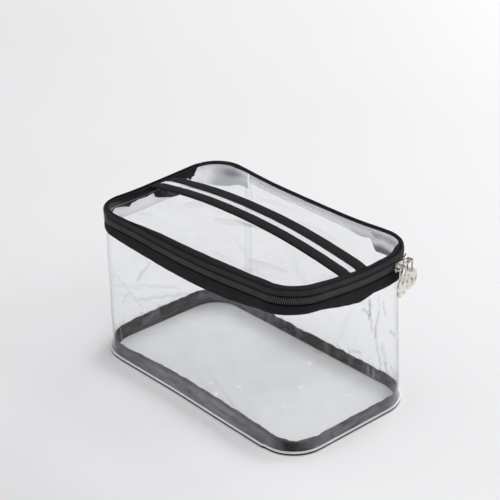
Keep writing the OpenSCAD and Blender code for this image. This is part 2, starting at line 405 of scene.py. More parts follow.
def weave_material(name, base=(0.004, 0.0042, 0.0048), light=(0.016, 0.0165, 0.019), pitch=0.9 * MM, kind="plain",
                   rough=0.75):
    """Black cloth: base to light in a fine weave, and black where the piece's shade says so."""
    m, n = new_material(name)
    uv = n.add("SeparateXYZ", {0: n.add("UVMap", uv_map="UVMap").outputs[0]})
    u, v = uv.outputs[0], uv.outputs[1]
    turns = 2 * math.pi / pitch
    if kind == "plain":
        height = n.maths("MULTIPLY", *(n.maths("SINE", n.maths("MULTIPLY", q, turns)) for q in (u, v)))
    else:
        zig = n.maths("MULTIPLY", n.maths("PINGPONG", u, 1.6 * pitch), 1.0)
        height = n.maths("SINE", n.maths("MULTIPLY", n.maths("ADD", v, zig), turns))
    coord = n.coords()
    height = n.maths("MULTIPLY_ADD", n.noise(coord, 620.0, 2.0), 1.3, height)
    cloth = n.maths("MULTIPLY", n.noise(coord, 60.0, 3.0), 0.55)
    colour = n.mix(n.maths("MULTIPLY_ADD", height, 0.34, cloth, clamp=True), base, light)
    colour = n.mix(n.attribute("shade"), colour, (0.001, 0.001, 0.0012))
    n.finish(n.add("BsdfPrincipled", {
        "Base Color": colour, "Roughness": rough, "Normal": n.bump(height, 0.8, 0.00025), "Sheen Weight": 0.012,
        "Sheen Roughness": 0.5, "Specular IOR Level": 0.12}))
    return m


def nylon_material(name):
    m, n = new_material(name)
    coord = n.coords()
    grain = n.noise(coord, 700.0, 2.0)
    # painted highlight: the teeth are a lighter grey than black nylon, standing in for the highlights on them, with
    # random tone between the two greys
    colour = n.mix(n.noise(coord, 120.0, 3.0), (0.050, 0.051, 0.056), (0.13, 0.132, 0.14))
    n.finish(n.add("BsdfPrincipled", {"Base Color": colour, "Roughness": n.maths("MULTIPLY_ADD", grain, 0.2, 0.12),
                                      "Normal": n.bump(grain, 0.15, 0.0001)}))
    return m


def metal_material(name, base, dark, rough=0.22):
    m, n = new_material(name)
    coord = n.coords()
    brush = n.noise(coord, 420.0, 4.0, Distortion=0.4)
    # darker in random patches
    dark_patches = n.ramp(n.noise(coord, 260.0, 4.0), 0.52, 0.70)
    n.finish(n.add("BsdfPrincipled", {
        "Base Color": n.mix(dark_patches, base, dark), "Metallic": 1.0, "Normal": n.bump(brush, 0.12, 0.0001),
        "Roughness": n.maths("MULTIPLY_ADD", brush, 0.16, rough - 0.08)}))
    return m


WALL_FILM = film_material("wall_film", gloss_above=0.45)
LID_FILM = film_material("lid_film", rough=0.06, tint=(0.996, 0.996, 0.997), milk=0.0, patches=0.006, gloss_level=0.30)
BASE_FILM = film_material("base_film", haze=0.020, wrinkle=0.6, tint=(0.998, 0.998, 0.998), patches=0.04, milk=0.0,
                          gloss_level=0.4)
STRIP_FILM = film_material("strip_film", haze=0.008, wrinkle=0.5, gloss_level=0.5, tint=(0.978, 0.983, 0.988),
                           shade=(0.42, 0.47, 0.55))
# The rolled edge's strong haze paints the white highlight along it; the hinge and inner films' grey and white carry
# painted reflections.
ROLL_FILM = film_material("roll_film", haze=0.30, milk=0.4, wrinkle=0.2, rough=0.12)
HINGE_FILM = film_material("hinge_film", haze=0.20, wrinkle=0.15, rough=0.10, shade=(0.20, 0.205, 0.23),
                           white=(0.84, 0.845, 0.87), gloss_level=0.5)
INNER_FILM = film_material("inner_film", haze=0.34, wrinkle=0.2, rough=0.10, shade=(0.20, 0.21, 0.26),
                           white=(0.80, 0.81, 0.83), gloss_level=0.5)
STRAP_FILM = film_material("strap_film", haze=0.05, wrinkle=0.3, gloss_level=0.4, white=(0.80, 0.81, 0.85))
BINDING_CLOTH = weave_material("binding_cloth")
# the base tape's grey cloth colours are painted reflection of the film in front of it; tape_dark paints it black where
# there is none
BASE_CLOTH = weave_material("base_cloth", (0.040, 0.041, 0.047), (0.27, 0.277, 0.31), 1.0 * MM)
BAND_CLOTH = weave_material("band_cloth", (0.0012, 0.0013, 0.0016), (0.026, 0.0265, 0.030), 1.2 * MM)
TAPE_CLOTH = weave_material("tape_cloth", (0.002, 0.0021, 0.0025), (0.062, 0.064, 0.072), 1.5 * MM, "herringbone")
STRAP_CLOTH = weave_material("strap_cloth", (0.0045, 0.0047, 0.0055), (0.018, 0.0185, 0.021), 1.0 * MM)
THREAD = weave_material("thread", (0.008, 0.008, 0.009), (0.035, 0.035, 0.039), 0.4 * MM, "twill", rough=0.6)
NYLON = nylon_material("nylon")
METAL = metal_material("plated_metal", (0.70, 0.665, 0.61), (0.16, 0.14, 0.12))
METAL_PULL = metal_material("plated_pull", (0.76, 0.725, 0.675), (0.22, 0.19, 0.165), rough=0.28)


def dress(obj, mat, body, slot, *nodes):
    """Gives a piece its material, the body it rides on and the CAD nodes that it stands for; slot is not used."""
    obj.data.materials.clear()
    obj.data.materials.append(mat)
    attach(obj, body)
    if nodes:
        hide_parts(*nodes)
    return obj


# ---------------------------------------------------------------- creases in the films
# Creases on each side: (along, height, along, height, half width, depth, whiteness, greyness), lengths in mm. The depth
# dents the film; the whiteness is a painted highlight and the greyness a painted reflection beside each crease.
# "along" is x on the front and back walls and y on the left and right walls.
WALL_CREASES = {
    FRONT: [
        (-92, 82, -54, 63, 0.9, 0.7, 0.3, 0.25), (-71, 73, -84, 56, 0.9, 0.5, 0.12, 0.2),
        (-62, 86, -45, 111, 1, 0.6, 0.16, 0.25), (-66, 82, -49, 106, 0.9, 0.4, 0.05, 0.18),
        (-60, 84, -9, 102, 1.1, 0.5, 0.16, 0.18), (-68, 66, 4, 103, 1.6, 0.5, 0.05, 0.22),
        (-86, 87, -76, 95, 0.8, 0.5, 0.75, 0), (-98, 62, -60, 70, 1.2, 0.4, 0.06, 0.1),
        (-104, 92, -96, 60, 1.2, 0.6, 0.1, 0.14), (-30, 60, 6, 34, 4, 0.8, 0.03, 0.04),
        (30, 84, 66, 42, 4.5, 0.8, 0.02, 0.04), (20, 40, 58, 16, 3, 0.9, 0.04, 0.06),
        (64, 36, 84, 14, 2, 0.8, 0.08, 0.04),
    ],
    LEFT: [
        (-22, 12, -16, 20, 1.1, 0.8, 1, 0), (-14, 19, -9, 17, 1, 0.5, 0.8, 0), (-26, 5, -23, 17, 1, 0.8, 0.35, 0.5),
        (-5, 20, -3, 4, 0.9, 0.7, 0.9, 0.1), (-4, 18, 4, 2, 0.9, 0.7, 0.6, 0.1),
        (-42, 22, -46, 5, 1.2, 0.8, 0.5, 0), (10, 16, 16, 4, 1.4, 0.8, 0.2, 0),
        (-60, 60, -20, 40, 2, 0.8, 0.06, 0.1),
    ],
    RIGHT: [
        (15, 111, 17, 91, 1.2, 0.9, 0.05, 0.75), (8, 106, 16, 95, 1.1, 0.7, 0.05, 0.45),
        (17, 93, 20, 78, 0.9, 0.8, 0.1, 0.4), (25, 110, 27, 96, 0.9, 0.8, 0.3, 0.2),
        (27, 96, 22, 83, 1, 1, 0.2, 0.45), (22, 84, 23, 71, 1.1, 1, 0.15, 0.55),
        (23, 72, 27, 57, 0.9, 0.9, 0.1, 0.35), (27, 58, 29, 38, 0.9, 0.9, 0.1, 0.45),
        (31, 66, 36, 40, 2.4, 1, 0.05, 0.22), (30, 103, 35, 86, 1.2, 0.8, 0.05, 0.25),
        (18, 60, 10, 40, 1.4, 0.6, 0.12, 0.08), (-2, 108, -24, 70, 5, 0.7, 0.01, 0.06),
        (20, 52, 18, 30, 1, 0.7, 0.25, 0.1), (40, 42, 46, 24, 0.9, 0.9, 0.3, 0.4),
        (39, 74, 47, 63, 0.9, 0.8, 0.05, 0.55),
    ],
    BACK: [
        (40, 24, 50, 2, 1.1, 1, 1, 0), (46, 12, 62, 17, 1.3, 0.8, 0.35, 0.35), (33, 14, 36, 3, 1.2, 0.8, 0.7, 0),
        (86, 20, 93, 8, 1, 0.8, 0.6, 0.3), (-30, 80, 10, 40, 4, 1, 0.03, 0.05),
        (-96, 70, -60, 40, 3, 0.8, 0.04, 0.08), (40, 96, 66, 60, 2.4, 0.8, 0.06, 0.1),
        (-10, 60, 30, 30, 2, 0.8, 0.05, 0.06),
    ],
}


def wall_creases(angle, x, y, z):
    """Depth of the creases at arrays of wall points, with their painted highlight (whiteness) and painted reflection
    (greyness).
    """
    depth, white, grey = np.zeros_like(z), np.zeros_like(z), np.zeros_like(z)
    v = z / MM
    for side, creases in WALL_CREASES.items():
        off = np.abs(angle - side)
        if side == BACK:
            off = np.minimum(off, np.abs(angle - 90))
        mask = off < 40
        u = (x if side in (FRONT, BACK) else y) / MM
        for u0, v0, u1, v1, w, deep, wh, gr in creases:
            dx, dy = u1 - u0, v1 - v0
            span = math.hypot(dx, dy)
            t = ((u - u0) * dx + (v - v0) * dy) / span ** 2
            bend = 0.5 * np.sin(t * span * 0.33 + u0) + 0.25 * np.sin(t * span * 0.9 + v0)
            d = (-(u - u0) * dy + (v - v0) * dx) / span + bend
            s0, s1 = np.clip((t + 0.06) / 0.22, 0, 1), np.clip((1.06 - t) / 0.22, 0, 1)
            taper = (s0 * s0 * (3 - 2 * s0)) * (s1 * s1 * (3 - 2 * s1)) * mask
            dots = 0.55 + 0.45 * np.sin(t * span * 2.1 + v1) * np.sin(t * span * 0.7 + u1)
            depth += deep * np.exp(-(d / (w * 1.5)) ** 2) * taper
            white += wh * np.exp(-((d - 0.6 * w) / (w * 0.55)) ** 2) * taper * (0.6 + 0.4 * dots)
            grey += gr * np.exp(-((d + 0.5 * w) / (w * 0.7)) ** 2) * taper * (0.4 + 0.6 * dots)
    return depth * MM, np.clip(white, 0, 1), np.clip(grey, 0, 0.85)


# how far the base's edge spreads beyond the rim's outline in mm, by angle, and along the front by x in mm
BASE_OUT = [(90, 0.6), (130, 1.2), (180, 2.2), (214, 3.8), (250, 2.0), (270, 1.0), (300, 2.6), (330, 3.0), (360, 2.4),
            (390, 1.8), (420, 1.4), (450, 0.6)]
BASE_OUT_FRONT = [(-89, 1.4), (-17, 0.5), (47, 1.8), (89, 2.2)]
# the base tape's top edge: (angle, inset in mm, height in mm), and the same along the front by x in mm
TAPE_TOP = [(90, 3.0, 10.0), (120, 3.0, 12.0), (150, 3.0, 14.0), (180, 2.8, 14.2), (215, 1.2, 12.6), (250, 1.4, 12.4),
            (270, 4.4, 12.4), (295, 4.2, 10.4), (315, 3.6, 9.2), (335, 2.6, 10.2), (360, 0.4, 12.0), (400, 1.4, 12.0),
            (430, 2.6, 10.0), (450, 3.0, 10.0)]
TAPE_TOP_FRONT = [(-89, 2.2, 12.4), (-66, 4.6, 12.5), (-26, 7.2, 12.6), (37, 6.4, 12.6), (69, 4.8, 12.5),
                  (89, 4.4, 12.4)]


def base_out(p):
    if p[2] == FRONT:
        return table(p[0] / MM, BASE_OUT_FRONT)
    return table(p[2], BASE_OUT)


def tape_top(p):
    rows, key = (TAPE_TOP_FRONT, p[0] / MM) if p[2] == FRONT else (TAPE_TOP, p[2])
    return table(key, [(r[0], r[1]) for r in rows]), table(key, [(r[0], r[2]) for r in rows])


WALL_LOW = 1.3  # height of the wall's lower edge, in mm
WALL_INSET = 2.0  # the wall's inset above the base tape, in mm


def wall_inset(p, z):
    """The wall stands on the rolled edge, leans in over the base tape and straightens above it."""
    top_in, top_z = tape_top(p)
    low = 1.5 - base_out(p)
    rise = min(max((z / MM - WALL_LOW) / (top_z - WALL_LOW), 0.0), 1.0)
    at_tape = low + (top_in - 0.9 - low) * rise
    return blend(at_tape, WALL_INSET, smooth(z, (top_z + 1) * MM, 66 * MM)) * MM


def wall_slack(x, y, z):
    """Soft waves and fine ridges in the film between its seams."""
    hold = smooth(z, 12 * MM, 40 * MM) * (1 - smooth(z, 98 * MM, 120 * MM))
    slack = 2.4 * wobble(x, y, z * 0.7, 0.085, 3.1) + 0.9 * wobble(x, y, z * 0.6, 0.036, 8.4)
    ridge = max(1 - abs(wobble(x * 1.2, y * 1.2, z * 0.5, 0.030, 5.3)) * 4, 0.0) ** 2
    ridge *= smooth(wobble(x, y, z, 0.07, 11.0), -0.1, 0.35)
    streak = 0.30 * noise.noise(Vector((math.atan2(y, x) * 3.0, z / 0.0032, 4.0)))
    low = 1 - smooth(z, 14 * MM, 26 * MM)
    return ((slack + 0.55 * ridge) * hold + streak * low * smooth(z, 2 * MM, 5 * MM)) * MM, ridge


# ---------------------------------------------------------------- wall, lid and base films
FILM_T = 0.5 * MM
WALL_ROWS = 104


def build_wall():
    st, total = stations(90, 450, 1.2 * MM, closed=True)
    low, m = WALL_LOW * MM, WALL_ROWS + 1
    verts = np.zeros((len(st) * m, 3))
    push, fine = np.zeros(len(st) * m), np.zeros(len(st) * m)
    for i, p in enumerate(st):
        back = max(smooth(p[2], 404, 424), 1 - smooth(p[2], 148, 164))  # 1 where the wall has no band on it
        x0, y0 = at(p, 0)
        top = (122.6 + 9.4 * back) * MM
        for j in range(m):
            z = low + (top - low) * j / WALL_ROWS
            k = i * m + j
            push[k], fine[k] = wall_slack(x0, y0, z)
            verts[k] = (wall_inset(p, z), wall_lift(x0, y0, z), z)
    ang = np.repeat([p[2] for p in st], m)
    xy = np.array([at(p, 0) for p in st])
    x, y, z = np.repeat(xy[:, 0], m), np.repeat(xy[:, 1], m), verts[:, 2].copy()
    depth, white, grey = wall_creases(ang, x, y, z)
    inset, lift = verts[:, 0] - push - depth, verts[:, 1].copy()
    rad = np.radians(ang)
    verts = np.stack((x - inset * np.cos(rad), y - inset * np.sin(rad), z + lift), axis=1)
    faces, uvs = [], []
    for i, k, j, l in cells(len(st), m, True):
        s0, s1 = st[i][3], (st[k][3] if k else total)
        z0, z1 = j * 1.2 * MM, l * 1.2 * MM
        faces.append((i * m + j, k * m + j, k * m + l, i * m + l))
        uvs.append(((s0, z0), (s1, z0), (s1, z1), (s0, z1)))
    # the wall film's painted highlights and painted grey reflections along its creases
    obj = new_object("wall_film", verts, faces, uvs, {"haze_and_highlight": np.clip(white + 0.05 * fine, 0, 1), "shade": grey})
    thicken(obj, FILM_T)
    dress(obj, WALL_FILM, "case", "wall_panel", "wall_panel")


def from_edge(x, y):
    return min(HALF_W - abs(x), HALF_D - abs(y))


def ridge_lines(x, y, z, scale, seed, sharpness):
    return max(0.0, 1 - abs(wobble(x, y, z, scale, seed)) * sharpness) ** 2


def in_ellipse(x, y, px, py, lx, ly, turn):
    """A point's place in an ellipse's own axes, where its outline is at 1; lengths in mm, turn in degrees."""
    t = math.radians(turn)
    dx, dy = x / MM - px, y / MM - py
    return (dx * math.cos(t) + dy * math.sin(t)) / lx, (-dx * math.sin(t) + dy * math.cos(t)) / ly


def lid_height(x, y):
    free = smooth(from_edge(x, y), 6 * MM, 26 * MM)
    wave = 1.6 * wobble(x, y, 0, 0.075, 2.2) + 0.35 * wobble(x, y, 0, 0.030, 6.1)
    return 134.35 * MM + rim_lift(x, y) + free * (-1.0 + wave) * MM


def lid_highlight(x, y):
    # painted highlight: faint white lines along the lid's ridges
    return 0.04 * ridge_lines(x, y, 0.01, 0.045, 4.2, 5)


# painted grey reflections on the lid, in soft patches: (x, y, half length, half width, turn in degrees, greyness),
# lengths in mm
LID_PATCHES = [(-16, -2, 19, 6, 24, 0.12), (-4, 2, 12, 2.2, 8, 0.20), (-64, -4, 10, 7, 60, 0.10),
               (58, -36, 22, 5, 4, 0.10), (20, -48, 16, 3, -8, 0.08), (-78, -44, 9, 6, 30, 0.08),
               (40, 34, 26, 4, -4, 0.07), (-20, 44, 20, 4, 8, 0.06)]


def lid_shade(x, y):
    total = 0.0
    for px, py, lx, ly, turn, g in LID_PATCHES:
        u, v = in_ellipse(x, y, px, py, lx, ly, turn)
        edge = math.hypot(u, v) + 0.35 * wobble(x, y, 0, 0.012, px)
        total += g * (1 - smooth(edge, 0.8, 1.05)) * (0.6 + 0.4 * smooth(v, -1, 1))
    return min(total, 0.6)


def base_height(x, y):
    free = smooth(from_edge(x, y), 5 * MM, 20 * MM)
    wave = 0.9 * abs(wobble(x, y, 0, 0.060, 7.7)) + 0.35 * abs(wobble(x, y, 0, 0.022, 1.3))
    return (0.6 + free * (0.5 + wave)) * MM


def base_shade(x, y):
    # painted reflection: faint grey in bands and clouds, away from the base's edge
    folds = 0.014 * smooth(wobble(x, y, 0.01, 0.034, 15.5), 0.12, 0.20)
    clouds = 0.010 * smooth(wobble(x, y, 0.02, 0.05, 21.0), 0.05, 0.15)
    return smooth(from_edge(x, y), 8 * MM, 16 * MM) * (folds + clouds)


# white glints in the base film: (x, y, half length, half width, turn in degrees), lengths in mm
SPARKS = [(-42, -50, 4.0, 0.9, 62), (-37, -51, 3.2, 0.8, 20), (-46, -53, 2.4, 0.8, -30), (-8, -39, 2.6, 0.9, 5),
          (12, -26, 1.4, 0.7, 0), (26, 41, 1.6, 1.2, 0), (-30, -20, 1.2, 0.7, 40), (8, -47, 1.8, 0.6, 0),
          (60, -20, 2.0, 0.8, 80), (48, 10, 1.5, 0.7, 30), (84, 30, 3.0, 0.7, 50), (-70, 10, 2.0, 0.7, 20)]


def base_glints(x, y):
    # painted highlights: the glints listed above and faint white ridge lines
    spark = 0.0
    for row in SPARKS:
        u, v = in_ellipse(x, y, *row)
        spark = max(spark, math.exp(-(u * u + v * v) ** 2))
    return min(1.0, 0.03 * ridge_lines(x, y, 0.01, 0.040, 9.9, 6) + 0.9 * spark)


def film_panel(name, inset, height, haze_and_highlight, shade, mat, body, node_name):
    obj = dress(panel(name, inset, height, FILM_T, haze_and_highlight, shade), mat, body, node_name, node_name)


build_wall()
film_panel("lid_film", 2.6 * MM, lid_height, lid_highlight, lid_shade, LID_FILM, "lid", "lid_panel")
film_panel("base_film", 3.6 * MM, base_height, base_glints, base_shade, BASE_FILM, "case", "base_panel")


# ---------------------------------------------------------------- strips inside the rim
def back_run(x0, x1, step):
    """Stations along the back wall from x0 to x1, with x falling as it does round the rim."""
    n = max(2, math.ceil(abs(x1 - x0) / step))
    return [(x0 + (x1 - x0) * i / n, CY, BACK, abs(x1 - x0) * i / n) for i in range(n + 1)]


def remeasured(run):
    """The same stations with their run along the outline counted afresh."""
    out, s = [], 0.0
    for i, p in enumerate(run):
        if i:
            s += math.dist(at(p, 0), at(run[i - 1], 0))
        out.append((*p[:3], s))
    return out


def strip_film(name, run, low, high, inset, thickness, mat, slot, white, grey, cad=(), rows=16,
               on_wall=True):
    """A film strip along the wall; low, high, inset, white and grey are functions of a station (and t, 0 to 1)."""
    verts, haze_and_highlight, shade = [], [], []
    for p in run:
        z0, z1 = low(p), high(p)
        x, y = at(p, 0)
        for j in range(rows + 1):
            t = j / rows
            z = z0 + (z1 - z0) * t
            push = wall_slack(x, y, z)[0] if on_wall else 0.0
            base = wall_inset(p, z) - WALL_INSET * MM if on_wall else 0.0
            verts.append((*at(p, inset(p, t) * MM + base - push), z + wall_lift(x, y, z)))
            haze_and_highlight.append(white(p, t))
            shade.append(grey(p, t))
    m = rows + 1
    faces, uvs = [], []
    for i, k, j, l in cells(len(run), m):
        s0, s1 = run[i][3], run[k][3]
        faces.append((i * m + j, k * m + j, k * m + l, i * m + l))
        uvs.append(((s0, j * MM), (s1, j * MM), (s1, l * MM), (s0, l * MM)))
    obj = new_object(name, verts, faces, uvs, {"shade": shade, "haze_and_highlight": haze_and_highlight})
    thicken(obj, thickness)
    dress(obj, mat, "case", slot, *cad)


def hinge_run():
    """Round the right rear corner and along the back to the join strip."""
    corner = [p for p in stations(360, 450, 1.2 * MM)[0] if p[2] >= 409.5]
    return remeasured(corner + back_run(CX, -74 * MM, 1.6 * MM)[1:])


def tongue(p):
    """1 where the strip hangs down as a tongue near the right rear corner."""
    x = at(p, 0)[0]
    return smooth(x, 68 * MM, 76 * MM) * (1 - smooth(x, 101 * MM, 110 * MM)) + 0.25 * bump(x - 0.060, 0.012)


# Painted reflection on the hinge strip: grey, darker towards its top by the binding, with a dark core low on the
# tongue.
def hinge_grey(p, t):
    hang = tongue(p)
    flat = (0.15 + 0.13 * smooth(t, 0.1, 0.8)) * (1 - hang * 0.3)
    return min(0.9, flat + hang * 0.9 * bump(t - 0.16, 0.26) + hang * 0.35 * bump(t - 0.8, 0.12))


# the hinge strip's white band across the tongue is a painted highlight, and its grey a painted reflection
strip_film("hinge_film", hinge_run(),
           low=lambda p: (126.0 - 0.8 * wobble(*at(p, 0), 0, 0.03, 2.0) - 11.5 * tongue(p)) * MM,
           high=lambda p: 133.4 * MM,
           inset=lambda p, t: 2.9 + 2.6 * tongue(p) * math.sin(math.pi * min(1.0, 1 - t)) + 0.4 * math.sin(math.pi * t),
           thickness=0.4 * MM, mat=HINGE_FILM, slot="hinge_strip", cad=("hinge_strip",),
           white=lambda p, t: 0.16 + tongue(p) * 0.75 * bump(t - 0.50 - 0.1 * math.sin(p[3] * 300), 0.12),
           grey=hinge_grey)
# painted shade: the join strip is darker along both its edges, where its cut edges would bend the light
strip_film("join_film", back_run(-73.25 * MM, -81.75 * MM, 0.7 * MM),
           low=lambda p: 3.6 * MM, high=lambda p: 131.6 * MM, inset=lambda p, t: 1.5, thickness=0.3 * MM,
           mat=STRIP_FILM, slot="wall_join_strip", cad=("wall_join_strip",), rows=80, white=lambda p, t: 0.03,
           grey=lambda p, t: 0.01 + 0.20 * (bump(p[0] / MM + 73.5, 0.35) + bump(p[0] / MM + 81.5, 0.35)))


def inner_run():
    """From the join strip round the left rear corner and along the left side to the front corner."""
    run = remeasured(back_run(-76 * MM, -CX, 1.2 * MM)[:-1] + stations(90, 240, 1.2 * MM)[0])
    return [(x, y, 90.0 if a == BACK else a, s) for x, y, a, s in run]


def inner_low(p):
    x = at(p, 0)[0]
    rear = 1 - smooth(p[2], 130, 172)
    return (115.6 + rear * (0.6 - 3.0 * bump(x + 0.107, 0.012)) + 3.2 * smooth(x, -0.100, -0.080)) * MM


# The inner film's whiteness is painted reflection: pale along the left side, faint with a white line near its top at
# the left rear corner.
def inner_white(p, t):
    side = smooth(p[2], 132, 158)
    y = at(p, 0)[1]
    light = 0.72 + 0.28 * smooth(y, -0.045, 0.0) - 0.22 * (1 - smooth(t, 0.0, 0.4))
    return side * light + (1 - side) * (0.10 + 0.35 * bump(t - 0.9, 0.1) + 0.25 * bump(p[3] - 0.040, 0.008))


# painted reflection: grey, with a darker core at the left rear corner
def inner_grey(p, t):
    rear = 1 - smooth(p[2], 132, 158)
    if rear <= 0:
        y = at(p, 0)[1]
        return 0.16 * (1 - smooth(t, 0.0, 0.5)) + 0.14 * (1 - smooth(y, -0.05, -0.01))
    core = 0.62 * bump(p[3] - 0.020, 0.014) * bump(t - 0.62, 0.24)
    return min(0.9, rear * (0.16 + core + 0.22 * (1 - smooth(t, 0.15, 0.5))))


strip_film("rim_inner_film", inner_run(), low=inner_low, high=lambda p: (133.9 - 6.0 * smooth(p[2], 166, 176)) * MM,
           inset=lambda p, t: 3.25 + 0.5 * math.sin(math.pi * t) * (1 - smooth(p[2], 120, 160)), thickness=0.3 * MM,
           mat=INNER_FILM, slot="wall_panel", white=inner_white, grey=inner_grey, on_wall=False)


# ---------------------------------------------------------------- base
WHOLE_RIM = stations(90, 450, 1.1 * MM, closed=True)


def tape(name, path, section, mat, body, node_name, **options):
    return dress(sweep(name, path, section, **options), mat, body, node_name, node_name)


def base_binding_section(p):
    a = math.radians(p[2])
    back, left = max(0.0, math.sin(a)) ** 2, max(0.0, -math.cos(a)) ** 2
    x, y = at(p, 3 * MM)
    top_in, top_z = tape_top(p)
    low_in = 1.6 - base_out(p) + 4.4 * back
    low_z = 0.9 + 1.3 * left
    rag = 0.7 * wobble(x, y, 0, 0.004, 3.3) + 0.9 * wobble(x, y, 0, 0.012, 5.1)
    rag += bump((p[2] - 138) % 360 - 180, 26) * 1.2 * wobble(x, y, 0, 0.0025, 6.0)  # most at the near corner
    crumple = 0.4 + 1.3 * left + 2.2 * back
    ripple = crumple * (wobble(x, y, 0, 0.012, 9.0) + 0.5 * wobble(x, y, 0, 0.005, 3.0))
    pts = []
    for k in range(9):
        t = k / 8
        side = crumple * 0.5 * wobble(x, y, t * 0.01, 0.006, 12.0) * smooth(t, 0, 0.3)
        side += (0.5 + ripple) * math.sin(math.pi * t)
        pts.append((low_in + (top_in - low_in) * t + side, low_z + (top_z + rag - low_z) * t))
    return mm(pts + [(q[0] + 0.75, q[1]) for q in reversed(pts)])


def tape_dark(p, inset, z):
    """How black the base tape is painted: black at the front right corner, along the back and at the right rear corner,
    in patches on the left, in streaks and towards its top; elsewhere the cloth's grey shows, which is painted
    reflection of the film in front of it.
    """
    x, y = at(p, 0)
    a = p[2]
    near = bump(a - 312, 32) if a != FRONT else smooth(x, 0.050, 0.089) * 0.3
    back = 1.0925 * bump((x - 0.018) / 0.036, 1.0) if a == 90.0 or a > 440 else 0.0
    rear = 1.2 * bump(a - 402, 9) * smooth(wobble(x, y, z, 0.004, 2.0), -0.25, 0.1)
    left = 0.75 * smooth(wobble(x, y, z * 0.5, 0.016, 4.0), -0.15, 0.15) if 150 < a < 230 else 0.0
    upper = 0.35 * smooth(z, 9 * MM, 12 * MM) + 0.25 * wobble(x, y, z * 4, 0.020, 8.0)
    mottle = 0.35 * smooth(wobble(x, y, z, 0.010, 1.0), 0.0, 0.2) * (a != FRONT)
    streak = 0.30 * smooth(wobble(math.atan2(y, x) * 0.03, 0, z, 0.0022, 6.0), -0.1, 0.35)
    return min(1.0, max(0.0, max(near * 1.15, back, rear, left) + upper + streak + mottle))


def base_flange_section(p):
    o = base_out(p)
    return mm(cut_corners([(0.3 - o, 0.15), (0.2 - o, 0.95), (1.2 - o, 1.15), (4.2, 1.1), (4.2, 0.1), (1.2 - o, 0.02)]))


def base_roll_section(p):
    turns = [2 * math.pi * k / 10 for k in range(10)]
    return mm([(0.85 - base_out(p) + 0.85 * math.cos(a), 2.15 + 0.95 * math.sin(a)) for a in turns])


tape("base_binding_tape", WHOLE_RIM, base_binding_section, BASE_CLOTH, "case", "base_binding", closed_path=True,
     attr=tape_dark)
dress(sweep("base_seam_tape", stations(90, 450, 3 * MM, closed=True), base_flange_section, closed_path=True),
      BINDING_CLOTH, "case", "base_binding")
tape("base_rolled_edge", stations(90, 450, 1.5 * MM, closed=True), base_roll_section, ROLL_FILM, "case", "base_piping",
     closed_path=True)

# ---------------------------------------------------------------- rim: band, tapes, bindings
# height in mm of the band's lower edge, along the front by x and along the right side by y, both in mm
BAND_LOW_FRONT = [(-120, 117.4), (-92, 116.4), (-69, 114.2), (-37, 113.4), (16, 112.8), (47, 112.9), (73, 114.8),
                  (84, 115.8), (120, 116.4)]
BAND_LOW_RIGHT = [(-69, 116.8), (-38, 117.8), (-18, 114.6), (3, 112.2), (18, 115.0), (30, 114.2), (69, 114.0)]
BAND_TOP = 124.5
# height in mm of the facing's ragged lower edge, along the left side by y in mm
FACING_LEFT = [(-66, 119.0), (-58, 126.2), (-51, 125.8), (-45, 127.6), (-36, 126), (-30, 123.4), (-28, 126.0),
               (-20, 127), (-11, 126.4), (-9.5, 127.4), (-5, 127.4), (-4.2, 123.6), (0, 121.5), (7, 118.5),
               (14, 115.8), (22, 115.6), (25, 119), (27, 126.5), (32, 127.3), (35, 124.5), (37, 127), (60, 127.4)]
# distance in mm from the outline to the lid binding's inner edge, by angle at the left front corner, by y along the
# right side, and by x along the front and back
LID_EDGE_CORNER = [(180, 6.6), (205, 5.0), (230, 4.0), (268, 4.4)]
LID_EDGE_FRONT = [(-120, 4.2), (-89, 4.4), (-75, 5.6), (-60, 7.8), (-40, 10.6), (-15, 12.0), (10, 12.4), (32, 12.6),
                  (48, 12.2), (65, 11.6), (81, 11.6), (120, 11.8)]
LID_EDGE_RIGHT = [(-69, 11.8), (-38, 11.4), (-20, 10.2), (0, 9.2), (38, 8.0), (69, 8.0)]
LID_EDGE_BACK = [(-89, 6.6), (-80, 5.0), (-50, 4.6), (4, 5.4), (7.5, 5.6), (8.5, 3.4), (60, 3.6), (78, 3.8), (89, 4.0)]


def band_low(p):
    x, y = at(p, 0)
    left = 117.8 + 0.5 * wobble(x, y, 0, 0.02, 2.5)
    front, right = table(x / MM, BAND_LOW_FRONT), table(y / MM, BAND_LOW_RIGHT)
    if p[2] <= FRONT:
        return blend(left, front, smooth(p[2], LEFT, FRONT))
    return blend(front, right, smooth(p[2], FRONT, RIGHT))


def band_section(p):
    x, y = at(p, 0)
    low = band_low(p) + 0.25 * wobble(x, y, 0, 0.006, 1.1)
    belly = 0.35 + 0.3 * wobble(x, y, 0, 0.03, 4.0)
    pts = [(1.75, BAND_TOP + 0.2), (1.2, BAND_TOP + 0.1), (0.75, BAND_TOP - 0.6), (0.5 - belly * 0.4, BAND_TOP - 2.6),
           (0.45 - belly, (BAND_TOP + low) / 2), (0.5 - belly * 0.5, low + 1.6), (0.62, low + 0.35), (1.0, low),
           (1.55, low + 0.2), (1.7, low + 0.8)]
    return lifted(cut_corners(pts), rim_z(p, 1 * MM) / MM)


def band_groove(p, inset, z):
    """Painted shade: black where the band tucks under the zip."""
    return smooth(z - rim_z(p, 1 * MM), 123.6 * MM, 124.4 * MM)


def facing_section(p):
    x, y = at(p, 3 * MM)
    jag = 1.8 * wobble(x, y, 0, 0.010, 6.6) + 1.2 * wobble(x, y, 0, 0.0035, 3.6)
    t = 1 - smooth(p[2], 196, 236)
    low = min(blend(118.6 + 0.5 * jag, table(y / MM, FACING_LEFT) + 0.35 * jag, t), 127.6)
    lean = 0.8 + 0.8 * wobble(x, y, 0, 0.014, 2.9)
    a, top = 3.5 + 0.15 * t, 128.2
    mid = (top + low) / 2
    pts = [(a, top), (a, mid), (a + lean * 0.4, low), (a + 0.5 + lean * 0.4, low), (a + 0.55 + lean * 0.2, mid),
           (a + 0.5, top)]
    return lifted(cut_corners(pts), rim_z(p, 3 * MM) / MM)


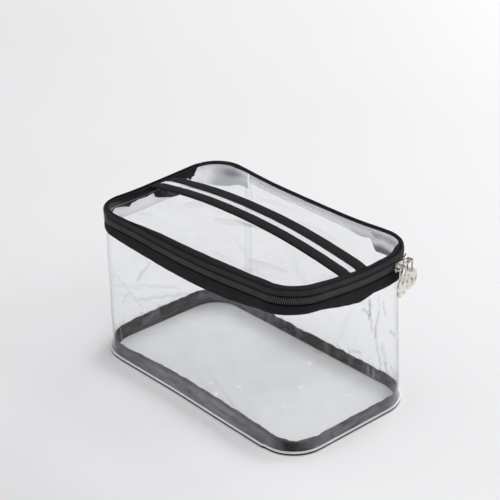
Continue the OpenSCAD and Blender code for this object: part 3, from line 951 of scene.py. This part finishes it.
def lower_tape_section(p):
    pts = [(1.75, 127.9), (1.75, 125.2), (1.95, 124.6), (2.3, 123.5), (2.3, 119.2), (2.85, 119.2), (2.9, 127.9)]
    return lifted(pts, rim_z(p, 2.6 * MM) / MM)


def upper_tape_section(p):
    """The zip's upper tape rolls up over the lid's edge and ends in the stitched groove on top."""
    x, y = at(p, 1 * MM)
    end = 1 - smooth(p[2], ZIP_START, ZIP_START + 7) * (1 - smooth(p[2], ZIP_END - 7, ZIP_END))
    o = 0.25 * wobble(x, y, 0, 0.02, 5.0) + end
    drop = 1.6 * end
    top = [(2.95, 134.2), (2.75, 134.6), (2.45, 135.3), (1.95, 135.85), (1.35, 136.0), (0.70 + o, 135.5),
           (0.20 + o, 134.5), (0.05 + o, 133.3)]
    side = [(0.25 + o, 132.3), (0.75 + o, 131.75), (1.7 + o, 131.45), (1.9, 131.2), (1.9, 128.1), (2.9, 128.1)]
    return lifted([(q, r - drop) for q, r in top] + side, rim_z(p, 1 * MM) / MM)


# Painted shade: black on the upper tape's inner side and low down beside the teeth.
def upper_tape_groove(p, inset, z):
    return 1.0 if inset > 1.62 * MM or z - rim_z(p, 1 * MM) < 132.5 * MM else 0.0


def lid_edge(p):
    a = p[2]
    x, y = at(p, 0)
    if a <= LEFT:
        base = 6.6
    elif a < FRONT:
        base = table(a, LID_EDGE_CORNER)
    elif a == FRONT:
        base = table(x / MM, LID_EDGE_FRONT)
    elif a < RIGHT:
        base = 11.7
    elif a == RIGHT:
        base = table(y / MM, LID_EDGE_RIGHT)
    elif a < 445:
        base = blend(8.0, 4.0, smooth(a, 392, 418))
    else:
        base = table(x / MM, LID_EDGE_BACK)
    return base + 0.30 * wobble(x, y, 0, 0.0022, 7.0) + 0.35 * wobble(x, y, 0, 0.012, 4.4)


def rolled_back(p):
    """1 along the back, where the lid's binding is a roll on the hinge line and has no zip beside it."""
    return max(smooth(p[2], 398, 413), 1 - smooth(p[2], 157, 173))


ROLL_IN, ROLL_Z, ROLL_R = 1.7, 134.3, 1.68  # middle and radius of the roll, in mm; the hinge axis is its middle


def lid_binding_section(p):
    x, y = at(p, 0)
    edge = lid_edge(p)
    puff = 0.12 * wobble(x, y, 0, 0.009, 8.8)
    ridge = 0.1 * wobble(x, y, 0, 0.005, 2.0)
    zip_side = [(2.95, 134.6), (2.9, 134.7), (2.95, 134.82), (3.3, 134.86), (3.7, 134.95), (4.0, 135.3),
                (4.4, 135.62 + ridge), (max(4.9, edge * 0.62), 135.75 + puff), (edge - 1.3, 135.72 + puff),
                (edge - 0.4, 135.45), (edge, 135.1), (edge - 0.4, 134.78), (3.6, 134.6), (3.2, 134.55)]
    turns = [math.radians(t) for t in (-100, -140, -180, 150, 118, 88, 55)]
    rolled = [(ROLL_IN + ROLL_R * math.cos(t), ROLL_Z + ROLL_R * math.sin(t)) for t in turns]
    rolled += [(3.3, 135.45), (max(edge - 1.0, 3.5), 135.4), (max(edge - 0.3, 3.7), 135.25), (max(edge, 3.9), 135.0),
               (max(edge - 0.4, 3.7), 134.7), (3.3, 134.65), (2.6, 133.1)]
    back = rolled_back(p)
    pts = [(blend(a0, a1, back), blend(b0, b1, back)) for (a0, b0), (a1, b1) in zip(zip_side, rolled)]
    return lifted(pts, rim_z(p, 3 * MM) / MM)


def binding_groove(p, inset, z):
    """Painted shade: black in the stitched groove beside the zip, and darker along wavy lines where the tape is folded.
    """
    groove = (1 - smooth(inset, 3.6 * MM, 4.2 * MM)) * smooth(inset, 2.4 * MM, 2.7 * MM)
    return groove * (1 - rolled_back(p)) + 0.35 * smooth(wobble(*at(p, inset), 0, 0.005, 4.0), 0.1, 0.4)


ZIP_PATH = stations(ZIP_START, ZIP_END, 1.5 * MM)
tape("lower_band_weave", ZIP_PATH, band_section, BAND_CLOTH, "case", "lower_band", attr=band_groove)
tape("rim_facing_tape", stations(176, ZIP_END, 1.1 * MM), facing_section, BINDING_CLOTH, "case", "rim_facing")
# painted shade: the lower tape's face under the teeth is black, so the gaps between them read dark
tape("lower_tape_weave", ZIP_PATH, lower_tape_section, TAPE_CLOTH, "case", "lower_zip_tape",
     attr=lambda p, inset, z: 1.0 if inset < 2.1 * MM else 0.0)
tape("upper_tape_weave", ZIP_PATH, upper_tape_section, TAPE_CLOTH, "lid", "upper_zip_tape", attr=upper_tape_groove)
tape("lid_binding_tape", stations(90, 450, 1.0 * MM, closed=True), lid_binding_section, BINDING_CLOTH, "lid",
     "lid_binding", closed_path=True, sharp=60, attr=binding_groove)

# ---------------------------------------------------------------- zip teeth
TOOTH_HALF = 0.31 * MM
TOOTH_LEAN = 0.22 * MM
TOOTH_PITCH = 1.74 * MM
# a turn's outline: (part of the way from its head to its root, inset in mm)
TOOTH_PROFILE = [(0.0, 2.25), (0.04, 1.1), (0.16, 0.55), (0.36, 0.28), (0.60, 0.30), (0.84, 0.70), (1.0, 1.5),
                 (1.0, 2.25)]


def tooth(verts, faces, p, z_head, z_root, side):
    """One turn of the coil: a rounded wire loop that stands proud of its tape."""
    a = math.radians(p[2])
    nx, ny = math.cos(a), math.sin(a)
    tx, ty = -ny, nx
    base, n = len(verts), len(TOOTH_PROFILE)
    lift = rim_z(p, 1.5 * MM)
    for k, (t, inset) in enumerate(TOOTH_PROFILE):
        x, y = at(p, inset * MM)
        w = TOOTH_HALF * (0.75 if k in (0, n - 1) else 1.0)
        for q in (-1, -0.45, 0.45, 1):
            out = 0.16 * MM * (1 - q * q)
            along = w * q + TOOTH_LEAN * side * (t - 0.5)
            verts.append((x + nx * out + tx * along, y + ny * out + ty * along, z_head + (z_root - z_head) * t + lift))
    faces += quads(n, 4, base=base)
    faces += [(b + 4, b + 7, b + 3, b) for b in range(base, base + 4 * (n - 1), 4)]
    e = base + (n - 1) * 4
    faces += [(base, base + 3, base + 2, base + 1), (e, e + 1, e + 2, e + 3)]


def teeth(name, z_head, z_root, phase, side, body, node_name):
    path, total = stations(ZIP_START, ZIP_END, 0.25 * MM)
    s_all = np.array([q[3] for q in path])
    verts, faces = [], []
    s = TOOTH_PITCH * (0.6 + phase)
    while s < total - TOOTH_PITCH * 0.6:
        i = int(np.searchsorted(s_all, s))
        tooth(verts, faces, path[min(i, len(path) - 1)], z_head, z_root, side)
        s += TOOTH_PITCH
    obj = new_object(name, verts, faces)
    tidy_normals(obj, 60)
    dress(obj, NYLON, body, node_name, node_name)


teeth("lower_coil_teeth", 128.25 * MM, 125.1 * MM, 0.0, 1, "case", "lower_coil")
teeth("upper_coil_teeth", 127.75 * MM, 130.95 * MM, 0.5, -1, "lid", "upper_coil")


def tab_section(p):
    return mm(cut_corners([(0.35, 124.6), (-0.15, 125.2), (-0.2, 126.8), (0.4, 127.3), (1.7, 127.3), (2.2, 126.6),
                           (2.2, 125.0), (1.6, 124.6)]))


tape("zip_tab_right", stations(ZIP_END - 4, ZIP_END + 1, 0.8 * MM), tab_section, BINDING_CLOTH, "case",
     "zip_end_tab_right")
tape("zip_tab_left", stations(ZIP_START - 1, ZIP_START + 4, 0.8 * MM), tab_section, BINDING_CLOTH, "case",
     "zip_end_tab_left")

# ---------------------------------------------------------------- handle
STRAP_LO, STRAP_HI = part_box("handle_strap")
STRAP_HALF = STRAP_HI[0] + 2.5 * MM
STRAP_Y = (STRAP_LO[1] + STRAP_HI[1]) / 2
STRAP_W = 27 * MM
STRAP_RISE = 9.5  # height of the strap's middle over its ends, in mm


def strap_z(x):
    t = abs(x) / STRAP_HALF
    z = 135.2 + STRAP_RISE * (1 - t * t) - 0.7 * smooth(t, 0.94, 0.985) + 0.25 * wobble(x, 0, 0, 0.05, 3.0)
    return z * MM + rim_lift(math.copysign(0.118, x), 0.0) * smooth(t, 0.5, 1.0)


def strap_piece(name, section, mat, node_name, milk=None, step=1.5 * MM):
    """Sweeps section(x) -> [(y, height over the strap), ...] along the strap; milk(x) is its whiteness."""
    n = math.ceil(2 * STRAP_HALF / step)
    runs = [2 * STRAP_HALF * i / n for i in range(n + 1)]
    verts, cum, haze_and_highlight = [], [], []
    for run in runs:
        x = run - STRAP_HALF
        sec = section(x)
        verts += [(x, y, strap_z(x) + z) for y, z in sec]
        haze_and_highlight += [milk(x) if milk else 0.0] * len(sec)
        cum.append([0.0])
        for a, b in zip(sec, sec[1:] + sec[:1]):
            cum[-1].append(cum[-1][-1] + math.dist(a, b))
    m = len(sec)
    faces, uvs = [], []
    for i, k, j, l in cells(n + 1, m, False, True):
        x0, x1, c0, c1 = runs[i], runs[k], cum[i][j], cum[i][j + 1]
        faces.append((i * m + j, k * m + j, k * m + l, i * m + l))
        uvs.append(((x0, c0), (x1, c0), (x1, c1), (x0, c1)))
    for i, order in end_caps(n + 1, m):
        faces.append(tuple(i * m + j for j in order))
        uvs.append(tuple((0.0, j * MM) for j in order))
    obj = new_object(name, verts, faces, uvs, {"haze_and_highlight": haze_and_highlight} if milk else None)
    tidy_normals(obj, 50)
    return dress(obj, mat, "lid", node_name, node_name)


def strap_film_section(x):
    w = STRAP_W / 2 - 1.0 * MM
    pts = [(STRAP_Y - w + 2 * w * k / 8, 0.1 * MM) for k in range(9)]
    return pts + [(y, z + 0.6 * MM) for y, z in reversed(pts)]


def strap_binding(side):
    def section(x):
        edge = STRAP_Y + side * (STRAP_W / 2)
        wave = 0.18 * MM * wobble(x, side, 0, 0.010, 2.0)
        inner = edge - side * (10 * MM + 0.20 * MM * wobble(x, side, 0, 0.0025, 5.0))
        # (from the outer or the inner edge, distance from it, height), the last two in mm
        pts = [(inner, 0, 1.25), (inner, 0.5, 1.45), (edge, -5, 1.5), (edge, -0.9, 1.4), (edge, -0.1, 0.95),
               (edge, 0, 0.4), (edge, -0.15, -0.2), (edge, -0.9, -0.5), (inner, 0.5, -0.5), (inner, 0, -0.3),
               (inner, 0, 0.0), (edge, -1.2, 0.02), (edge, -1.2, 0.75), (inner, 0, 0.78)]
        return [(y + side * off * MM + wave, z * MM) for y, off, z in pts]
    return section


strap = strap_piece("strap_film", strap_film_section, STRAP_FILM, "handle_strap",
                    milk=lambda x: min(1.0, 1.2 * (1 - smooth(x, -0.100, -0.076))))
strap_piece("strap_binding_front", strap_binding(-1), STRAP_CLOTH, "handle_binding_front")
strap_piece("strap_binding_rear", strap_binding(1), STRAP_CLOTH, "handle_binding_rear")

# ---------------------------------------------------------------- stitches
THREAD_W, THREAD_H = 0.19 * MM, 0.16 * MM
STITCH_PITCH, STITCH_LENGTH = 3.0 * MM, 2.2 * MM


def stitch(verts, faces, a, b, up):
    """A short thread from a to b, raised a little at its middle."""
    a, b, up = Vector(a), Vector(b), Vector(up)
    side = (b - a).normalized().cross(up).normalized()
    base = len(verts)
    for t, k in ((0.0, 0.25), (0.2, 0.85), (0.5, 1.0), (0.8, 0.85), (1.0, 0.25)):
        for q in range(6):
            ang = math.pi * q / 3
            out, rise = THREAD_W * k * math.cos(ang), THREAD_H * k * (math.sin(ang) + 0.35)
            verts.append(tuple(a.lerp(b, t) + side * out + up * rise))
    faces += quads(5, 6, True, base)
    faces.append(tuple(base + q for q in range(5, -1, -1)))
    faces.append(tuple(base + 24 + q for q in range(6)))


def stitch_row(name, path, place, body, slot):
    """place(station) gives a point on the tape and the way up from it."""
    st, total = path
    s_all = np.array([q[3] for q in st])
    verts, faces = [], []
    s = STITCH_PITCH / 2
    while s + STITCH_LENGTH < total:
        i, j = int(np.searchsorted(s_all, s)), int(np.searchsorted(s_all, s + STITCH_LENGTH))
        j = min(j, len(st) - 1)
        if j > i:
            a, up = place(st[i])
            stitch(verts, faces, a, place(st[j])[0], up)
        s += STITCH_PITCH
    obj = new_object(name, verts, faces)
    layer = obj.data.uv_layers.new(name="UVMap")
    for loop in obj.data.loops:
        co = obj.data.vertices[loop.vertex_index].co
        layer.data[loop.index].uv = (co.x + co.y, co.z)
    tidy_normals(obj, 70)
    dress(obj, THREAD, body, slot)


def on_lid(p):
    return (*at(p, 2.6 * MM), 135.82 * MM + rim_z(p, 3 * MM)), (0, 0, 1)


def on_band(p):
    a = math.radians(p[2])
    return (*at(p, 0.45 * MM), (band_low(p) + 2.0) * MM + rim_z(p, 1 * MM)), (math.cos(a), math.sin(a), 0)


stitch_row("lid_stitches", stations(90, 450, 0.4 * MM, closed=True), on_lid, "lid", "lid_binding")
stitch_row("band_stitches_low", stations(ZIP_START, ZIP_END, 0.4 * MM), on_band, "case", "lower_band")


def spread_rim():
    """Pushes the soft rim out a little at the left front corner. CAD parts stay where they are."""
    cad = set(frame["nodes"].values())
    for obj in list(SCENE.objects):
        if obj.type != "MESH" or obj in cad:
            continue
        me = obj.data
        co = np.zeros(len(me.vertices) * 3)
        me.vertices.foreach_get("co", co)
        co = co.reshape(-1, 3)
        k = 2.1 * MM * np.exp(-(((co[:, 0] + 0.110) ** 2 + (co[:, 1] + 0.052) ** 2) / 0.036 ** 2))
        k *= np.clip((co[:, 2] - 0.020) / 0.098, 0, 1)
        co[:, 0] -= 0.667 * k
        co[:, 1] -= 0.745 * k
        me.vertices.foreach_set("co", co.ravel())
        me.update()


spread_rim()

# ---------------------------------------------------------------- metal
for side in ("side", "corner"):
    for part, mat, width in (("slider_body", METAL, 0.22), ("slider_bail", METAL, 0.3), ("pull_link", METAL_PULL, 0.3),
                             ("pull_disc", METAL_PULL, 0.12)):
        obj = frame["nodes"][side + "_" + part]
        obj.data.materials.clear()
        obj.data.materials.append(mat)
        m = obj.modifiers.new("rounding", "BEVEL")
        m.width = width * MM
        m.segments = 3
        m.limit_method = "ANGLE"
        m.angle_limit = math.radians(35)

DISC_FACE = 0.45 * MM  # from the disc's middle plane to its recessed faces
DOME_RINGS, DOME_SIDES = 3, 12


def relief(name, node_name, yaw, body):
    """Raised generic rosette and beads on both faces of a pull disc."""
    lo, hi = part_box(node_name)
    centre = Vector(((lo[0] + hi[0]) / 2, (lo[1] + hi[1]) / 2, (lo[2] + hi[2]) / 2))
    n = Vector((math.cos(math.radians(yaw)), math.sin(math.radians(yaw)), 0))
    side = Vector((-n.y, n.x, 0))
    up = Vector((0, 0, 1))
    bm = bmesh.new()

    def dome(u, v, r, h, sign, stretch=1.0, turn=0.0):
        def vert(du, dv, height):
            return bm.verts.new(centre + n * sign * (DISC_FACE + height) + side * (u + du) + up * (v + dv))

        rows = []
        for k in range(DOME_RINGS):
            a = (math.pi / 2) * k / DOME_RINGS
            rr, row = r * math.cos(a), []
            for q in range(DOME_SIDES):
                t = 2 * math.pi * q / DOME_SIDES
                du, dv = rr * stretch * math.cos(t), rr * math.sin(t)
                row.append(vert(du * math.cos(turn) - dv * math.sin(turn), du * math.sin(turn) + dv * math.cos(turn),
                                h * math.sin(a)))
            rows.append(row)
        tip = vert(0, 0, h)
        for i, k, j, l in cells(DOME_RINGS, DOME_SIDES, False, True):
            bm.faces.new((rows[i][j], rows[i][l], rows[k][l], rows[k][j]))
        for q in range(DOME_SIDES):
            bm.faces.new((rows[-1][q], rows[-1][(q + 1) % DOME_SIDES], tip))
        bm.faces.new(list(reversed(rows[0])))

    for sign in (-1, 1):
        dome(0, 0, 0.9 * MM, 0.22 * MM, sign)
        for k in range(8):
            t = 2 * math.pi * k / 8
            dome(2.5 * MM * math.cos(t), 2.5 * MM * math.sin(t), 0.55 * MM, 0.18 * MM, sign, 2.1, t)
        for k in range(24):
            t = 2 * math.pi * (k + 0.5) / 24
            u, v = 6.4 * MM * math.cos(t), 6.4 * MM * math.sin(t)
            if math.hypot(u, v - 7.0 * MM) > 2.3 * MM:  # no beads over the link's hole
                dome(u, v, 0.38 * MM, 0.16 * MM, sign)
    me = bpy.data.meshes.new(name)
    bmesh.ops.recalc_face_normals(bm, faces=bm.faces)
    bm.to_mesh(me)
    bm.free()
    obj = link_new(name, me)
    shade_smooth(obj)
    dress(obj, METAL_PULL, body, node_name)


relief("side_disc_relief", "side_pull_disc", 18, "side_disc")
relief("corner_disc_relief", "corner_pull_disc", 5, "corner_disc")


# ---------------------------------------------------------------- studio
def floor():
    m, n = new_material("studio_floor")
    colour = n.mix(n.noise(n.coords(), 3.0, 2.0), (0.83, 0.83, 0.84), (0.87, 0.87, 0.875))
    n.finish(n.add("BsdfPrincipled", {"Base Color": colour, "Roughness": 0.6, "Specular IOR Level": 0.2}))
    half, z = 9.0, -0.0002
    obj = new_object("studio_floor", [(-half, -half, z), (half, -half, z), (half, half, z), (-half, half, z)],
                     [(0, 1, 2, 3)])
    obj.data.materials.append(m)


def area_light(name, place, target, size, power):
    light = bpy.data.lights.new(name, "AREA")
    light.shape = "RECTANGLE"
    light.size, light.size_y = size
    light.energy = power
    obj = link_new(name, light)
    obj.location = place
    obj.rotation_euler = (Vector(target) - Vector(place)).to_track_quat("-Z", "Y").to_euler()


ROOM_LEVEL = 0.785
# azimuth and elevation of each box's middle in degrees, half width, half height, softness, brightness added
BOXES = [
    (-41.8, 24, 0.46, 0.34, 0.28, -0.84),   # the photographer's side of the room is dark
    (138, 36, 0.55, 0.34, 0.10, -0.52), (150, 22, 0.10, 0.05, 0.03, 0.50), (122, 34, 0.05, 0.16, 0.03, 0.60),
    (-133, 14, 0.40, 0.18, 0.12, 1.20), (165, 20, 0.05, 0.30, 0.03, -0.45), (20, 22, 0.10, 0.30, 0.04, 0.70),
    (55, 30, 0.06, 0.40, 0.03, -0.40), (-115, 22, 0.10, 0.34, 0.04, 0.70), (-90, 10, 0.05, 0.30, 0.03, -0.40),
    (10, 80, 0.40, 0.25, 0.05, 0.90),
]


def world():
    """A pale room: bright walls, a dark patch behind the camera and a few soft boxes for the gloss."""
    w = bpy.data.worlds.new("studio")
    w.use_nodes = True
    n = Nodes(w.node_tree, "OutputWorld")
    coord = n.add("TexCoord").outputs["Generated"]
    z = n.add("SeparateXYZ", {0: coord}).outputs[2]
    level = n.ramp(z, 0.0, 0.9, 0.86, 0.52, interpolation_type="SMOOTHSTEP")

    def along_dir(v):
        return n.add("VectorMath", {0: coord, 1: tuple(v)}, operation="DOT_PRODUCT").outputs["Value"]

    def soft_step(value, lo, hi):
        return n.ramp(value, lo, hi, interpolation_type="SMOOTHSTEP")

    for azimuth, elevation, half_w, half_h, soft, gain in BOXES:
        a, e = math.radians(azimuth), math.radians(elevation)
        d = Vector((math.cos(a) * math.cos(e), math.sin(a) * math.cos(e), math.sin(e)))
        side = Vector((-math.sin(a), math.cos(a), 0))
        wide, tall = (soft_step(n.maths("ABSOLUTE", along_dir(v)), half + soft, half - soft)
                      for v, half in ((side, half_w), (d.cross(side), half_h)))
        mask = n.maths("MULTIPLY", n.maths("MULTIPLY", wide, tall), soft_step(along_dir(d), 0.0, 0.1))
        level = n.maths("MULTIPLY_ADD", mask, gain, level)
    level = n.maths("MULTIPLY", n.maths("MAXIMUM", level, 0.02), ROOM_LEVEL)
    n.finish(n.add("Background", {"Color": (0.985, 0.99, 1.0, 1), "Strength": level}))
    SCENE.world = w


CAMERA_AT = (0.8069, -0.7221, 0.6613)
AZIMUTH, ELEVATION, ROLL = (math.radians(v) for v in (48.20, 26.86, -0.73))


def camera():
    back = Vector((math.sin(AZIMUTH) * math.cos(ELEVATION), -math.cos(AZIMUTH) * math.cos(ELEVATION),
                   math.sin(ELEVATION)))
    level = Vector((math.cos(AZIMUTH), math.sin(AZIMUTH), 0))
    upright = back.cross(level)
    right = math.cos(ROLL) * level + math.sin(ROLL) * upright
    up = -math.sin(ROLL) * level + math.cos(ROLL) * upright
    cam = bpy.data.cameras.new("camera")
    cam.lens = 108.9
    cam.sensor_width = 36
    cam.clip_start, cam.clip_end = 0.05, 60
    obj = link_new("camera", cam)
    obj.matrix_world = Matrix.Translation(CAMERA_AT) @ Matrix((right, up, back)).transposed().to_4x4()
    SCENE.camera = obj


floor()
world()
camera()
area_light("key", (1.4, 1.0, 1.9), (0, 0, 0.05), (1.0, 1.0), 12)
area_light("fill", (-1.6, -0.6, 1.5), (0, 0, 0.05), (1.0, 1.0), 4)
area_light("front", (1.7, -0.9, 2.1), (0, 0, 0.05), (1.0, 1.0), 12)
area_light("back", (-0.2, 3.2, 1.6), (-0.2, 1.9, 0), (3.0, 1.2), 80)
SCENE.view_settings.view_transform = "Standard"
SCENE.cycles.transparent_max_bounces = 40
SCENE.cycles.use_denoising = True
